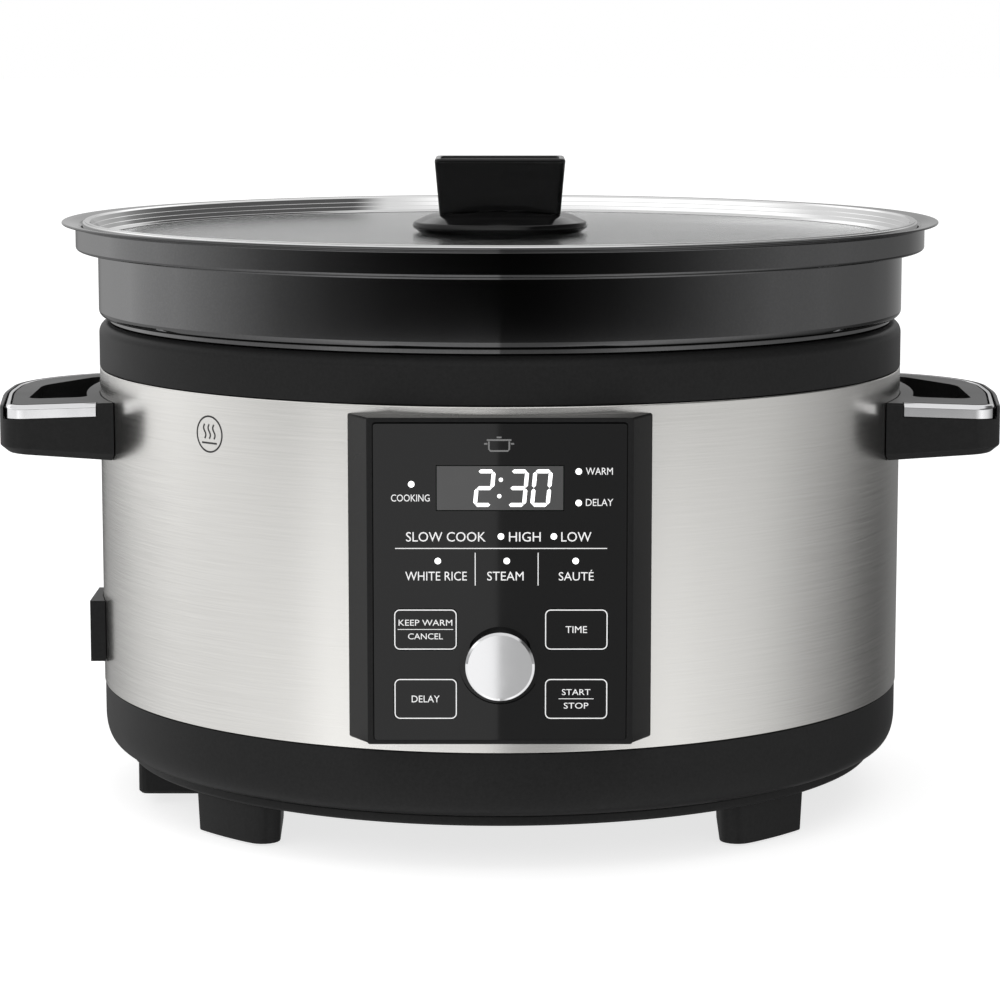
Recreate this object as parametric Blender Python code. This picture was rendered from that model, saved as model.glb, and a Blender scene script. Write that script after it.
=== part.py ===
"""Round electric slow cooker: steel-clad housing, lift-out pot, framed glass lid.

Axes: +X to the cooker's right as its user faces it, -Y towards the user, +Z up.
The origin is on the pot's axis, at the surface that the foot pads stand on.
Sizes are in millimetres and are scaled to metres where meshes are made.
"""
import math

import bmesh
import bpy
from mathutils import Matrix, Vector

MM = 0.001
GAP = 0.3            # clearance between pieces that touch
TURN_STEPS = 40      # facets round a full turn of a large piece
SMALL_STEPS = 16     # facets round a small turned piece

# Heights above the surface it stands on
PAD_DROP = 0.8                    # foot pads stand this far below the feet
COVER_BOTTOM = 15.45
COVER_TOP = 19.2
PAN_BOTTOM = 19.5
PAN_CURVE_TOP = 33.2
STEEL_BOTTOM = 43.1
STEEL_TOP = 161.2
COLLAR_TOP = 178.0
POT_EDGE = 180.0
BAND_BOTTOM = 204.7
RIM_TOP = 215.1
LID_SEAT = 207.0
GLASS_TOP = 209.8

# Radii
BODY_R = 150.1
STEEL_T = 0.8
PAN_R = 149.8
COVER_R = 141.1
WELL_R = 132.0
SHIELD_R = 134.4
FLANGE_R = 163.4
BAND_R = 158.25
LID_R = 155.6
GLASS_R = 146.9

# Control panel
PANEL_FRONT = -154.5
PANEL_HALF = 44.6
PANEL_ROOT_HALF = 51.3
PANEL_LOW, PANEL_HIGH = 47.1, 158.1
PLATE_HALF = 42.3
PLATE_LOW, PLATE_HIGH = 48.7, 156.0
PLATE_T = 1.8
BUTTON_W, BUTTON_H = 21.0, 13.7
BUTTON_X = 25.3
BUTTON_Z = (86.5, 62.8)
BUTTON_TRAVEL = 0.6
DIAL_Z = 74.6
DIAL_R = 11.7
DIAL_FRONT = -159.3
WINDOW_HALF, WINDOW_LOW, WINDOW_HIGH = 21.1, 127.0, 141.8

# Side handles
HANDLE_REACH = 181.5             # front corner, from the middle plane
HANDLE_MID = (187.0, -5.0)       # the end bulges a little between its corners
HANDLE_REAR_REACH = 186.5
HANDLE_HALF = 55.0
HANDLE_LOW, HANDLE_HIGH = 130.2, 151.4
TRIM_LOW = 146.7
TRIM_END = 146.4
TRIM_T = 3.6
TRIM_BORDER = 1.8                # plastic left outside the trim at the end and the rear
GAP_REACH = 174.8                # outer end of the finger gap
GAP_Y = (-32.0, 39.0)
SCREW_Y = 48.0
SCREW_Z = 139.0

# Mains inlet
INLET_Y = (-32.0, -2.0)
INLET_Z = (52.0, 74.8)
INLET_FACE = -152.5

# Feet
FOOT_R = 138.5                   # outer face, at its top
FOOT_INNER, FOOT_OUTER = 76.8, 108.4
FOOT_BACK = 64.0
PAD_XY = (90.5, 81.0)

BOSS_XY = (70.0, 45.0)


def clear_scene():
    for thing in list(bpy.data.objects):
        bpy.data.objects.remove(thing, do_unlink=True)


def material(name, colour, roughness, metallic=0.0, alpha=1.0):
    found = bpy.data.materials.get(name)
    if found:
        return found
    made = bpy.data.materials.new(name)
    made.use_nodes = True
    shader = made.node_tree.nodes["Principled BSDF"]
    shader.inputs["Base Color"].default_value = (*colour, 1.0)
    shader.inputs["Roughness"].default_value = roughness
    shader.inputs["Metallic"].default_value = metallic
    shader.inputs["Alpha"].default_value = alpha
    return made


def black_plastic():
    return material("black_plastic", (0.016, 0.016, 0.017), 0.38)


def gloss_black():
    return material("gloss_black", (0.01, 0.01, 0.011), 0.12)


def brushed_steel():
    return material("brushed_steel", (0.62, 0.61, 0.59), 0.3, 1.0)


def bright_steel():
    return material("bright_steel", (0.75, 0.75, 0.76), 0.1, 1.0)


def pot_coating():
    return material("pot_coating", (0.05, 0.05, 0.052), 0.35, 0.3)


def aluminium():
    return material("aluminium", (0.7, 0.7, 0.71), 0.35, 1.0)


def board_green():
    return material("circuit_board", (0.02, 0.12, 0.05), 0.5)


def rubber():
    return material("rubber", (0.02, 0.02, 0.02), 0.8)


def finish_mesh(name, mesh_data, surface, smooth=True):
    """Turn a bmesh in millimetres into a named object in metres."""
    bmesh.ops.recalc_face_normals(mesh_data, faces=mesh_data.faces)
    bmesh.ops.scale(mesh_data, vec=(MM, MM, MM), verts=mesh_data.verts)
    mesh = bpy.data.meshes.new(name)
    mesh_data.to_mesh(mesh)
    mesh_data.free()
    mesh.materials.append(surface)
    if smooth:
        mesh.shade_smooth()
        mesh.set_sharp_from_angle(angle=math.radians(32))
    thing = bpy.data.objects.new(name, mesh)
    bpy.context.scene.collection.objects.link(thing)
    return thing


def turned(name, profile, surface, steps=TURN_STEPS):
    """A solid of revolution about Z from a closed outline of (radius, height)."""
    made = bmesh.new()
    rings = []
    for radius, height in profile:
        if radius < 1e-6:
            rings.append([made.verts.new((0, 0, height))])
            continue
        ring = []
        for i in range(steps):
            turn = 2 * math.pi * i / steps
            ring.append(made.verts.new((radius * math.cos(turn), radius * math.sin(turn), height)))
        rings.append(ring)
    for low, high in zip(rings, rings[1:] + rings[:1]):
        for i in range(steps):
            j = (i + 1) % steps
            if len(low) == 1 and len(high) == 1:
                break
            if len(low) == 1:
                made.faces.new((low[0], high[i], high[j]))
            elif len(high) == 1:
                made.faces.new((low[i], low[j], high[0]))
            else:
                made.faces.new((low[i], low[j], high[j], high[i]))
    return finish_mesh(name, made, surface)


def lofted(name, sections, surface, smooth=True):
    """A closed solid through equal-length outlines of (x, y, z) points."""
    made = bmesh.new()
    rings = [[made.verts.new(point) for point in section] for section in sections]
    count = len(rings[0])
    for low, high in zip(rings, rings[1:]):
        for i in range(count):
            j = (i + 1) % count
            made.faces.new((low[i], low[j], high[j], high[i]))
    made.faces.new(list(reversed(rings[0])))
    made.faces.new(rings[-1])
    return finish_mesh(name, made, surface, smooth)


def raised(outline, height):
    return [(x, y, height) for x, y in outline]


def prism(name, outline, low, high, surface, smooth=True):
    return lofted(name, [raised(outline, low), raised(outline, high)], surface, smooth)


def block(name, x_span, y_span, z_span, surface):
    outline = [(x_span[0], y_span[0]), (x_span[1], y_span[0]), (x_span[1], y_span[1]), (x_span[0], y_span[1])]
    return prism(name, outline, z_span[0], z_span[1], surface, smooth=False)


def rounded_rectangle(half_w, half_h, radius, steps=4):
    """Corner-rounded rectangle about the origin, anticlockwise."""
    points = []
    corners = ((1, 1, 0), (-1, 1, 90), (-1, -1, 180), (1, -1, 270))
    for sign_x, sign_y, start in corners:
        for i in range(steps + 1):
            turn = math.radians(start + 90 * i / steps)
            points.append((sign_x * (half_w - radius) + radius * math.cos(turn),
                           sign_y * (half_h - radius) + radius * math.sin(turn)))
    return points


def arc(centre, radius, start, end, steps):
    """Points on an arc, angles in degrees."""
    points = []
    for i in range(steps + 1):
        turn = math.radians(start + (end - start) * i / steps)
        points.append((centre[0] + radius * math.cos(turn), centre[1] + radius * math.sin(turn)))
    return points


def front_plate(name, outline, centre, y_front, y_back, surface):
    """A plate facing -Y, from an outline of (x, z) offsets about centre."""
    sections = []
    for y in (y_back, y_front):
        sections.append([(centre[0] + x, y, centre[1] + z) for x, z in outline])
    return lofted(name, sections, surface)


def rod(name, start, end, radius, surface, steps=SMALL_STEPS):
    """A round bar between two points."""
    start, end = Vector(start), Vector(end)
    along = (end - start).normalized()
    side = along.orthogonal().normalized()
    other = along.cross(side)
    sections = []
    for point in (start, end):
        ring = []
        for i in range(steps):
            turn = 2 * math.pi * i / steps
            ring.append(tuple(point + radius * (math.cos(turn) * side + math.sin(turn) * other)))
        sections.append(ring)
    return lofted(name, sections, surface)


def combine(target, tool, operation):
    """Boolean with a tool that the finished part leaves out."""
    tool.hide_render = True
    tool.display_type = "WIRE"
    step = target.modifiers.new(tool.name, "BOOLEAN")
    step.operation = operation
    step.solver = "EXACT"
    step.object = tool
    return target


def cut(target, tool):
    return combine(target, tool, "DIFFERENCE")


def join(target, tool):
    return combine(target, tool, "UNION")


def body_cylinder(name):
    """The cylinder just outside the steel, which fitted parts are cut to."""
    outline = arc((0, 0), BODY_R + GAP, 0, 360 - 360 / 96, 95)
    return prism(name, outline, 0, 200, black_plastic())


# ---------------------------------------------------------------- housing

def base_pan():
    """Moulded base: wall, rounded lower edge, floor, and a spigot inside the steel."""
    rise = PAN_CURVE_TOP - PAN_BOTTOM
    inset = 9.8
    power = 2 / 2.9
    curve = []
    for i in range(6):
        turn = math.pi / 2 * i / 5
        radius = PAN_R - inset * (1 - math.cos(turn) ** power)
        curve.append((radius, PAN_CURVE_TOP - rise * math.sin(turn) ** power))
    wall = 2.5
    outer = [(PAN_R, STEEL_BOTTOM - GAP)] + curve
    inner = [(PAN_R - inset - wall, PAN_BOTTOM + wall), (PAN_R - wall - 1.2, PAN_CURVE_TOP - 6),
             (PAN_R - wall - 0.6, PAN_CURVE_TOP), (146.6, STEEL_BOTTOM - 1)]
    spigot = [(146.6, 52.0), (148.9, 52.0), (148.9, STEEL_BOTTOM - GAP)]
    profile = outer + [(0, PAN_BOTTOM), (0, PAN_BOTTOM + wall)] + inner + spigot
    pan = turned("base_pan", profile, black_plastic())
    for i, (sx, sy) in enumerate(((-1, -1), (1, -1), (1, 1), (-1, 1))):
        x, y = sx * BOSS_XY[0], sy * BOSS_XY[1]
        join(pan, rod(f"boss_{i}", (x, y, PAN_BOTTOM + 1), (x, y, 26.7), 5.0, black_plastic(), 16))
        cut(pan, rod(f"boss_hole_{i}", (x, y, 18), (x, y, 30), 2.0, black_plastic(), 12))
    return pan


def bottom_cover():
    """Round plate that closes the base, with a raised edge seen below the pan."""
    profile = [(0, COVER_BOTTOM), (COVER_R - 1.1, COVER_BOTTOM), (COVER_R, COVER_BOTTOM + 1.1),
               (COVER_R, COVER_TOP - 0.6), (COVER_R - 0.8, COVER_TOP), (0, COVER_TOP)]
    cover = turned("bottom_cover", profile, black_plastic())
    for i, (sx, sy) in enumerate(((-1, -1), (1, -1), (1, 1), (-1, 1))):
        x, y = sx * BOSS_XY[0], sy * BOSS_XY[1]
        cut(cover, rod(f"cover_hole_{i}", (x, y, 10), (x, y, 25), 2.0, black_plastic(), 12))
        screw_from_below(f"base_screw_{i + 1}", x, y)
    return cover


def screw_from_below(name, x, y):
    """Pan-head screw that holds the cover to a boss of the base pan."""
    screw = rod(name, (x, y, COVER_BOTTOM - GAP), (x, y, 25.5), 1.7, bright_steel(), 8)
    head_top = COVER_BOTTOM - GAP
    head = rod(name + "_head", (x, y, head_top - 2.2), (x, y, head_top + 0.001), 3.6, bright_steel(), 10)
    return join(screw, head)


def foot(name, pad_name, sign_x, sign_y):
    """Foot block with its outer face on a circle, and a rubber pad let into its underside."""
    def outline(inset):
        radius = FOOT_R - inset
        inner, outer, back = FOOT_INNER + inset, FOOT_OUTER - inset, FOOT_BACK + inset
        corners = [(inner + 1.5, back, 4), (inner, math.sqrt(radius ** 2 - inner ** 2), 6)]
        first, last = math.acos(inner / radius), math.acos(outer / radius)
        for k in range(3, 7):
            turn = first + (last - first) * k / 8
            corners.append((radius * math.cos(turn), radius * math.sin(turn), 0))
        corners += [(outer, math.sqrt(radius ** 2 - outer ** 2), 2), (outer, back, 4)]
        return [(sign_x * x, sign_y * y) for x, y in filleted(corners, 4)]

    def pad(half_w, half_d, radius, height):
        middle = (sign_x * PAD_XY[0], sign_y * PAD_XY[1])
        corners = rounded_rectangle(half_w, half_d, radius, 4)
        return raised([(x + middle[0], y + middle[1]) for x, y in corners], height)

    low, high = PAD_DROP, COVER_BOTTOM - GAP
    sections = [raised(outline(0.9), low), raised(outline(0.6), low + 0.3), raised(outline(0.0), high)]
    made = lofted(name, sections, black_plastic())
    pocket = [pad(10.3, 8.3, 3.3, low - 1), pad(10.3, 8.3, 3.3, low + 1.8)]
    cut(made, lofted(name + "_pocket", pocket, rubber()))
    lofted(pad_name, [pad(10, 8, 3, 0), pad(10, 8, 3, low + 1.5)], rubber())
    return made


def steel_shell():
    """Brushed steel sleeve, open at the front for the controls and at the side for the inlet."""
    inner = BODY_R - STEEL_T
    wall = [(BODY_R, STEEL_BOTTOM), (BODY_R, STEEL_TOP), (inner, STEEL_TOP), (inner, STEEL_BOTTOM)]
    shell = turned("steel_shell", wall, brushed_steel(), 80)
    cut(shell, block("shell_window", (-40, 40), (-160, -120), (54, 150), brushed_steel()))
    inlet_y = (INLET_Y[0] + 1.8, INLET_Y[1] - 1.8)
    inlet_z = (INLET_Z[0] + 1.5, INLET_Z[1] - 1.5)
    cut(shell, block("shell_inlet_hole", (-160, -130), inlet_y, inlet_z, brushed_steel()))
    for side in (-1, 1):
        for end in (-1, 1):
            tag = f"shell_screw_hole_{side}_{end}"
            start, finish = (side * 130, end * SCREW_Y, SCREW_Z), (side * 165, end * SCREW_Y, SCREW_Z)
            cut(shell, rod(tag, start, finish, 2.2, brushed_steel(), 12))
    return shell


def top_collar():
    """Black ring on top of the steel, with a rounded shoulder and a skirt inside the steel."""
    radius = 4.0
    shoulder = arc((BODY_R - radius, COLLAR_TOP - radius), radius, 0, 90, 3)
    profile = [(BODY_R, STEEL_TOP + GAP)] + shoulder
    profile += [(WELL_R + 3.0, COLLAR_TOP), (WELL_R + 0.5, COLLAR_TOP - 2.5), (WELL_R + 0.5, 174.5),
                (146.4, 174.5), (146.4, 156.0), (148.9, 156.0), (148.9, STEEL_TOP + GAP)]
    return turned("top_collar", profile, black_plastic())


# ---------------------------------------------------------------- heating

def heating_well():
    """Pressed metal bowl that hangs by its flange under the collar and holds the heat plate."""
    floor = 60.0
    wall = 1.0
    profile = [(12, floor)] + arc((WELL_R - 8, floor + 8), 8, -90, 0, 2)
    profile += [(WELL_R, 173.2), (145.8, 173.2), (145.8, 174.2), (WELL_R - wall, 174.2)]
    profile += arc((WELL_R - 8, floor + 8), 7, 0, -90, 2) + [(12, floor + wall)]
    return turned("heating_well", profile, aluminium())


def heat_plate():
    plate = [(0, 66.2), (106, 66.2), (108, 68.2), (108, 70.7), (107, 71.7), (0, 71.7)]
    turned("heating_plate", plate, aluminium(), 32)
    ring = arc((78, 63.6), 2.3, 0, 300, 5)
    turned("heater_element", ring, bright_steel(), 32)


def heat_shield():
    floor = 54.0
    profile = [(20, floor), (SHIELD_R, floor), (SHIELD_R, 168), (SHIELD_R - 0.8, 168),
               (SHIELD_R - 0.8, floor + 0.8), (20, floor + 0.8)]
    turned("heat_shield", profile, aluminium(), 32)


def sensors():
    rod("temperature_sensor", (0, 0, 51.5), (0, 0, 65.9), 9.0, bright_steel())
    rod("thermal_fuse", (-8, 60, 57.4), (8, 60, 57.4), 2.2, bright_steel(), 16)


def electronics():
    block("power_board", (-80, 80), (-55, 55), (27.0, 28.6), board_green())
    relay_case = material("relay_case", (0.02, 0.05, 0.12), 0.4)
    block("heater_relay", (-60, -40), (-25, -9), (28.9, 45.0), relay_case)
    block("control_board", (-38, 38), (-148.0, -146.4), (57, 147), board_green())
    display_case = material("display_case", (0.75, 0.75, 0.72), 0.5)
    block("display_module", (-20, 20), (-152.2, -148.3), (128.2, 140.6), display_case)
    height = (DIAL_Z - 6.5, DIAL_Z + 6.5)
    encoder = block("encoder_body", (-6.5, 6.5), (-151.6, -148.3), height, bright_steel())
    cut(encoder, rod("encoder_bore", (0, -153, DIAL_Z), (0, -147, DIAL_Z), 3.2, bright_steel(), 16))
    rod("encoder_shaft", (0, -157.2, DIAL_Z), (0, -148.6, DIAL_Z), 2.9, bright_steel(), 16)


# ---------------------------------------------------------------- controls

def button_spots():
    """Names and centres of the four buttons, as (name, x, z)."""
    return (("keep_warm", -BUTTON_X + 0.3, BUTTON_Z[0]), ("time", BUTTON_X + 0.3, BUTTON_Z[0]),
            ("delay", -BUTTON_X + 0.3, BUTTON_Z[1]), ("start", BUTTON_X + 0.3, BUTTON_Z[1]))


def panel_bezel():
    """Black surround with slanted cheeks, fitted to the round body and open at its middle."""
    outline = [(-PANEL_ROOT_HALF, -135), (-PANEL_ROOT_HALF, -141.3), (-PANEL_HALF, PANEL_FRONT),
               (PANEL_HALF, PANEL_FRONT), (PANEL_ROOT_HALF, -141.3), (PANEL_ROOT_HALF, -135)]
    bezel = prism("panel_bezel", outline, PANEL_LOW, PANEL_HIGH, black_plastic(), smooth=False)
    cut(bezel, body_cylinder("bezel_back"))
    middle = (PLATE_LOW + PLATE_HIGH) / 2
    recess = rounded_rectangle(PLATE_HALF + GAP, (PLATE_HIGH - PLATE_LOW) / 2 + GAP, 1.2, 3)
    floor = PANEL_FRONT + PLATE_T + 0.4
    cut(bezel, front_plate("bezel_recess", recess, (0, middle), PANEL_FRONT - 2, floor, black_plastic()))
    cut(bezel, block("bezel_window", (-39, 39), (-160, -130), (55, 149), black_plastic()))
    return bezel


def control_plate():
    """Front plate with its openings for the display, the buttons and the dial."""
    middle = (PLATE_LOW + PLATE_HIGH) / 2
    outline = rounded_rectangle(PLATE_HALF, (PLATE_HIGH - PLATE_LOW) / 2, 0.9, 3)
    back = PANEL_FRONT + PLATE_T
    plate = front_plate("control_plate", outline, (0, middle), PANEL_FRONT + 0.1, back, gloss_black())
    wide, high = (-WINDOW_HALF - GAP, WINDOW_HALF + GAP), (WINDOW_LOW - GAP, WINDOW_HIGH + GAP)
    cut(plate, block("plate_display_hole", wide, (-157, -150), high, gloss_black()))
    for name, x, z in button_spots():
        hole = rounded_rectangle(BUTTON_W / 2 + GAP, BUTTON_H / 2 + GAP, 2.1, 3)
        cut(plate, front_plate(f"plate_hole_{name}", hole, (x, z), -157, -150, gloss_black()))
    cut(plate, rod("plate_dial_recess", (0, -157, DIAL_Z), (0, -153.3, DIAL_Z), 13.7, gloss_black(), 48))
    cut(plate, rod("plate_shaft_hole", (0, -157, DIAL_Z), (0, -150, DIAL_Z), 3.4, gloss_black(), 16))
    window = (-WINDOW_HALF, WINDOW_HALF), (PANEL_FRONT + 0.15, PANEL_FRONT + 1.5), (WINDOW_LOW, WINDOW_HIGH)
    block("display_window", *window, material("smoked_window", (0.12, 0.12, 0.12), 0.1))
    return plate


def buttons():
    cap_back = PANEL_FRONT + 2.6
    for name, x, z in button_spots():
        outline = rounded_rectangle(BUTTON_W / 2, BUTTON_H / 2, 1.8, 3)
        front_plate(f"button_{name}", outline, (x, z), PANEL_FRONT + 0.05, cap_back, gloss_black())
        block(f"switch_{name}", (x - 3, x + 3), (cap_back + BUTTON_TRAVEL + 0.1, -148.3), (z - 3, z + 3),
              material("switch_case", (0.05, 0.05, 0.05), 0.5))


def dial():
    """Turned metal knob on the encoder's shaft."""
    edge = 0.6
    profile = [(0, DIAL_FRONT), (DIAL_R - edge, DIAL_FRONT), (DIAL_R, DIAL_FRONT + edge), (DIAL_R, -153.6),
               (3.2, -153.6), (3.2, -157.5), (0, -157.5)]
    made = turned("selector_dial", [(r, -y) for r, y in profile], aluminium(), 32)
    made.matrix_world = Matrix.Rotation(math.radians(90), 4, "X")
    made.location = (0, 0, DIAL_Z * MM)
    return made


# ---------------------------------------------------------------- handles and inlet

def filleted(points, steps):
    """Replace each corner of a closed (x, y, radius) outline with an arc; radius 0 keeps it sharp."""
    outline = []
    for i, (x, y, radius) in enumerate(points):
        corner = Vector((x, y))
        if radius <= 0:
            outline.append((x, y))
            continue
        before = (Vector(points[i - 1][:2]) - corner).normalized()
        after = (Vector(points[(i + 1) % len(points)][:2]) - corner).normalized()
        half_angle = before.angle(after) / 2
        reach = radius / math.tan(half_angle)
        centre = corner + (before + after).normalized() * (radius / math.sin(half_angle))
        start = corner + before * reach - centre
        sweep = start.angle_signed(corner + after * reach - centre)
        for k in range(steps + 1):
            turn = -sweep * k / steps
            outline.append((centre.x + start.x * math.cos(turn) - start.y * math.sin(turn),
                            centre.y + start.x * math.sin(turn) + start.y * math.cos(turn)))
    return outline


def handle_loop(inset, inner_r, front_radius, rear_radius, root_radius, steps):
    """Plan of the left handle: round the loop and back along a circle about the body."""
    half = HANDLE_HALF - inset
    root = -math.sqrt(inner_r ** 2 - half ** 2)
    corners = [(root, half, root_radius), (inset - HANDLE_REAR_REACH, half, rear_radius),
               (inset - HANDLE_MID[0], HANDLE_MID[1], 150.0), (inset - HANDLE_REACH, -half, front_radius),
               (root, -half, root_radius)]
    edge = math.degrees(math.asin(half / inner_r))
    corners += [(x, y, 0) for x, y in arc((0, 0), inner_r, 180 + edge, 180 - edge, 12)[1:-1]]
    return filleted(corners, steps)


def finger_gap():
    """Plan of the opening for the fingers: squarer at the front, well rounded at the rear."""
    inner_r = BODY_R + 5.0
    front, rear = GAP_Y
    rear_root, front_root = -math.sqrt(inner_r ** 2 - rear ** 2), -math.sqrt(inner_r ** 2 - front ** 2)
    corners = [(rear_root, rear, 3.0), (-157.5, rear, 5.0), (-GAP_REACH, 14.0, 18.0),
               (-GAP_REACH + 0.6, front, 6.0), (front_root, front, 4.0)]
    first, last = math.degrees(math.asin(front / inner_r)), math.degrees(math.asin(rear / inner_r))
    corners += [(x, y, 0) for x, y in arc((0, 0), inner_r, 180 - first, 180 - last, 12)[1:-1]]
    return filleted(corners, 4)


def handle_outline(inset):
    return handle_loop(inset, BODY_R + GAP, 11.0 - inset, 38.0 - inset, 0, 6)


def sloped(outline, height, side):
    """Set an outline at a height; the loop gets thinner away from the body."""
    middle = 140.0
    slope = -0.033 if height > middle else 0.066
    return [(-side * x, y, height + slope * (-x - 143)) for x, y in outline]


def trim_path(front, end, end_x):
    """Line round the outside of the left handle, inset by one amount in front and one elsewhere."""
    front_half, rear_half = HANDLE_HALF - front, HANDLE_HALF - end
    corners = [(-60, rear_half, 0), (end - HANDLE_REAR_REACH, rear_half, 38.0 - end),
               (end - HANDLE_MID[0], HANDLE_MID[1], 150.0), (end - HANDLE_REACH, -front_half, 11.0 - end),
               (-60, -front_half, 0)]
    return [(end_x, rear_half)] + filleted(corners, 6)[1:-1] + [(end_x, -front_half)]


def handle(name, side):
    """Side handle: a loop with a finger gap, cut back at its top edge for the trim."""
    low, high = HANDLE_LOW, HANDLE_HIGH
    levels = [(2.8, low), (0.2, low + 2.3), (0.0, low + 2.6), (0.0, high - 1.1), (1.1, high)]
    sections = [sloped(handle_outline(inset), height, side) for inset, height in levels]
    made = lofted(name, sections, black_plastic())
    wide, end_x = TRIM_T + GAP, GAP - TRIM_END
    seat = trim_path(-2.0, TRIM_BORDER - GAP, end_x) + trim_path(wide, wide, end_x)[::-1]
    seat_levels = [sloped(seat, TRIM_LOW - GAP, side), sloped(seat, 160, side)]
    cut(made, lofted(name + "_seat", seat_levels, black_plastic()))
    hole = [(-side * x, y) for x, y in finger_gap()]
    cut(made, prism(name + "_gap", hole, 100, 170, black_plastic()))
    for end in (-1, 1):
        start = (side * 130, end * SCREW_Y, SCREW_Z)
        finish = (side * 157, end * SCREW_Y, SCREW_Z)
        cut(made, rod(f"{name}_bore_{end}", start, finish, 2.0, black_plastic(), 12))
    return made


def handle_trim(name, side):
    """Bright strip let into the top outer edge of a handle."""
    inner = trim_path(TRIM_T, TRIM_T, -TRIM_END)[::-1]
    flat = trim_path(0.0, TRIM_BORDER, -TRIM_END) + inner
    top = trim_path(1.0, TRIM_BORDER + 0.4, -TRIM_END) + inner
    edge = HANDLE_HIGH - 1.1
    sections = [sloped(flat, TRIM_LOW, side), sloped(flat, edge, side), sloped(top, HANDLE_HIGH, side)]
    return lofted(name, sections, bright_steel())


def handle_screw(name, side, end):
    y, z = end * SCREW_Y, SCREW_Z
    screw = rod(name, (side * 139.0, y, z), (side * 155, y, z), 1.7, bright_steel(), 8)
    head = rod(name + "_head", (side * 137.2, y, z), (side * 139.4, y, z), 3.4, bright_steel(), 10)
    return join(screw, head)


def mains_inlet():
    """Appliance inlet in the side: flange, recessed socket and three blades."""
    flange = block("mains_inlet", (INLET_FACE, -135), INLET_Y, INLET_Z, black_plastic())
    cut(flange, body_cylinder("inlet_back"))
    body_y = (INLET_Y[0] + 2.3, INLET_Y[1] - 2.3)
    body_z = (INLET_Z[0] + 2.0, INLET_Z[1] - 2.0)
    join(flange, block("inlet_body", (INLET_FACE + 1, -137.5), body_y, body_z, black_plastic()))
    recess_y = (body_y[0] + 1.8, body_y[1] - 1.8)
    recess_z = (body_z[0] + 1.6, body_z[1] - 1.6)
    cut(flange, block("inlet_recess", (-160, -139.7), recess_y, recess_z, black_plastic()))
    middle_y, middle_z = sum(INLET_Y) / 2, sum(INLET_Z) / 2
    for name, dy, dz in (("neutral", -7, -1.8), ("earth", 0, 1.8), ("live", 7, -1.8)):
        y_span = (middle_y + dy - 1.0, middle_y + dy + 1.0)
        z_span = (middle_z + dz - 2.0, middle_z + dz + 2.0)
        wide_y = (y_span[0] - GAP, y_span[1] + GAP)
        wide_z = (z_span[0] - GAP, z_span[1] + GAP)
        cut(flange, block(f"inlet_slot_{name}", (-142, -136), wide_y, wide_z, black_plastic()))
        block(f"inlet_pin_{name}", (-149.0, -136.6), y_span, z_span, bright_steel())
    return flange


def wiring_cover():
    """Low box under the base, below the inlet."""
    outline = [(x - 117.3, y - 17) for x, y in rounded_rectangle(17.2, 25.0, 3.0, 3)]
    inset = [(x - 117.3, y - 17) for x, y in rounded_rectangle(16.2, 24.0, 2.4, 3)]
    sections = [raised(inset, 3.6), raised(outline, 4.6), raised(outline, COVER_BOTTOM - GAP)]
    return lofted("wiring_cover", sections, black_plastic())


# ---------------------------------------------------------------- pot and lid

def cooking_pot():
    """Coated pot: vessel in the well, wide shoulder on the collar, seat and flange for the lid."""
    shoulder = COLLAR_TOP + GAP
    outer = [(0, 72.0)] + arc((110, 86), 14, -90, -8, 3)
    outer += [(129.5, 171.0), (131.6, 176.2), (134.2, shoulder), (146.4, shoulder), (146.4, POT_EDGE)]
    outer += arc((BODY_R - 2.5, POT_EDGE + 2.5), 2.5, -90, 0, 2)
    outer += [(BODY_R, BAND_BOTTOM - 1.2), (BODY_R + 1.2, BAND_BOTTOM)]
    outer += [(BAND_R - 1.0, BAND_BOTTOM), (BAND_R, BAND_BOTTOM + 1.0)]
    outer += [(BAND_R, 211.6), (BAND_R + 0.9, 213.0), (BAND_R + 2.6, 213.8)]
    outer += [(FLANGE_R - 0.6, 214.0), (FLANGE_R, 214.5), (FLANGE_R - 0.3, RIM_TOP)]
    inner = [(160.0, 214.9), (157.4, 214.6), (156.0, 213.6), (156.0, LID_SEAT), (151.3, LID_SEAT)]
    inner += [(147.4, 203.0), (147.4, 189.0), (145.0, 184.8), (138.5, 182.6), (131.0, 179.6), (127.0, 174.0)]
    inner += arc((110, 86), 11.0, -8, -90, 3) + [(0, 75.0)]
    return turned("cooking_pot", outer + inner, pot_coating())


def lid():
    ring = [(143.5, 204.9), (148.2, 204.9), (151.4, LID_SEAT + GAP), (LID_R, LID_SEAT + GAP), (LID_R, 214.0),
            (154.9, 215.0), (153.6, 215.3), (152.5, 214.8), (149.6, 209.5), (147.2, 209.1), (147.2, 205.7),
            (143.5, 205.7)]
    turned("lid_rim", ring, bright_steel())
    glass = [(4.5, 206.0), (GLASS_R, 206.0), (GLASS_R, 208.4), (GLASS_R - 0.6, 209.0), (90, 209.5),
             (4.5, GLASS_TOP)]
    turned("lid_glass", glass, material("lid_glass", (0.8, 0.85, 0.83), 0.03, 0.0, 0.35))


def knob_dome(offset):
    """Top of the knob's round base, as (radius, height) from its edge to its middle."""
    return [(33.0 + offset, 213.3 + offset), (32.4 + offset, 214.1 + offset), (30.0, 215.4 + offset),
            (26.0, 216.9 + offset), (20.0, 217.8 + offset), (13.0, 218.3 + offset)]


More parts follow.
